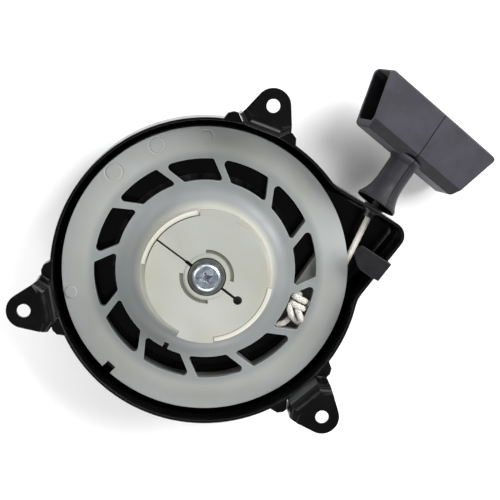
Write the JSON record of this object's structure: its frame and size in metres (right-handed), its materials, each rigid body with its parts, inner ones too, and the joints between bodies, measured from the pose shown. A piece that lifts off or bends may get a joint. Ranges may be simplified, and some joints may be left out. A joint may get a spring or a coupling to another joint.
{
  "type": "recoil starter",
  "caption": "Pull-cord starter for a small engine: black pressed steel pan with ears, nylon rope pulley, pawls under a friction plate, rewind spring and T grip.",
  "frame": {"origin": "on the pulley's axis, in the plane of the three ears' mounting faces", "axes": "+Z along the pulley's axis towards the engine, so the pan's closed back faces -Z; the first ear stands at 69.1 degrees from +X and the rope leaves in the +X +Y corner"},
  "size_m": [0.2628, 0.1901, 0.0635],
  "materials": {
    "black_painted_steel": "gloss black paint",
    "bright_steel": "turned",
    "zinc_screw": "bright zinc plated",
    "spring_steel": "blued strip, oiled",
    "blackened_steel": "black oxide",
    "white_nylon": "moulded, slightly translucent",
    "cream_plastic": "moulded",
    "grey_plastic": "satin moulded",
    "rope": "braided polyester",
    "grip_rubber": "satin moulded"
  },
  "bodies": {
    "housing": {"starter_housing": "black_painted_steel", "center_post": "bright_steel", "post_washer": "bright_steel", "post_rivet": "bright_steel", "friction_collar": "bright_steel", "friction_spring": "spring_steel", "screw_washer": "bright_steel", "center_screw": "zinc_screw", "rope_eyelet": "blackened_steel", "rope_guide_clip": "grey_plastic", "rope_run": "rope", "rewind_spring": "spring_steel", "spring_cover": "blackened_steel"},
    "pulley": {"pulley": "white_nylon", "rope_coil": "rope", "rope_inner_knot": "rope"},
    "friction_plate": {"friction_plate": "cream_plastic"},
    "pawl_a": {"pawl_a": "blackened_steel"},
    "pawl_b": {"pawl_b": "blackened_steel"},
    "pull_rope": {"rope_lead": "rope", "rope_outer_knot": "rope"},
    "handle": {"handle_insert": "bright_steel", "handle_grip": "grip_rubber"}
  },
  "joints": [
    {"name": "pulley_spin", "type": "hinge", "parent": "housing", "child": "pulley", "pos_m": [0, 0, -0.04], "axis": [0, 0, 1], "range_deg": [0, 1440], "stiffness_Nm_per_rad": 0.026, "springref_deg": -1260.51, "deforming": ["rewind_spring"]},
    {"name": "plate_turn", "type": "hinge", "parent": "pulley", "child": "friction_plate", "pos_m": [0, 0, -0.01], "axis": [0, 0, 1], "range_deg": [-26, 0]},
    {"name": "pawl_a_swing", "type": "hinge", "parent": "pulley", "child": "pawl_a", "pos_m": [0.02718, -0.00479, -0.015], "axis": [0, 0, 1], "range_deg": [-24, 0]},
    {"name": "pawl_b_swing", "type": "hinge", "parent": "pulley", "child": "pawl_b", "pos_m": [-0.02718, 0.00479, -0.015], "axis": [0, 0, 1], "range_deg": [-24, 0]},
    {"name": "handle_pull", "type": "slide", "parent": "housing", "child": "pull_rope", "axis": [0.585, 0.8111, 0], "range_m": [0, 1.64], "deforming": ["rope_lead"]},
    {"name": "handle_swivel", "type": "hinge", "parent": "pull_rope", "child": "handle", "pos_m": [0.09187, 0.03483, -0.0329], "axis": [0.5766, 0.7995, -0.1685], "continuous": true}
  ],
  "couplings": [
    {"joint": "pawl_a_swing", "follows": "plate_turn", "ratio": 0.9},
    {"joint": "pawl_b_swing", "follows": "plate_turn", "ratio": 0.9},
    {"joint": "handle_pull", "follows": "pulley_spin", "m_per_rad": 0.065}
  ]
}
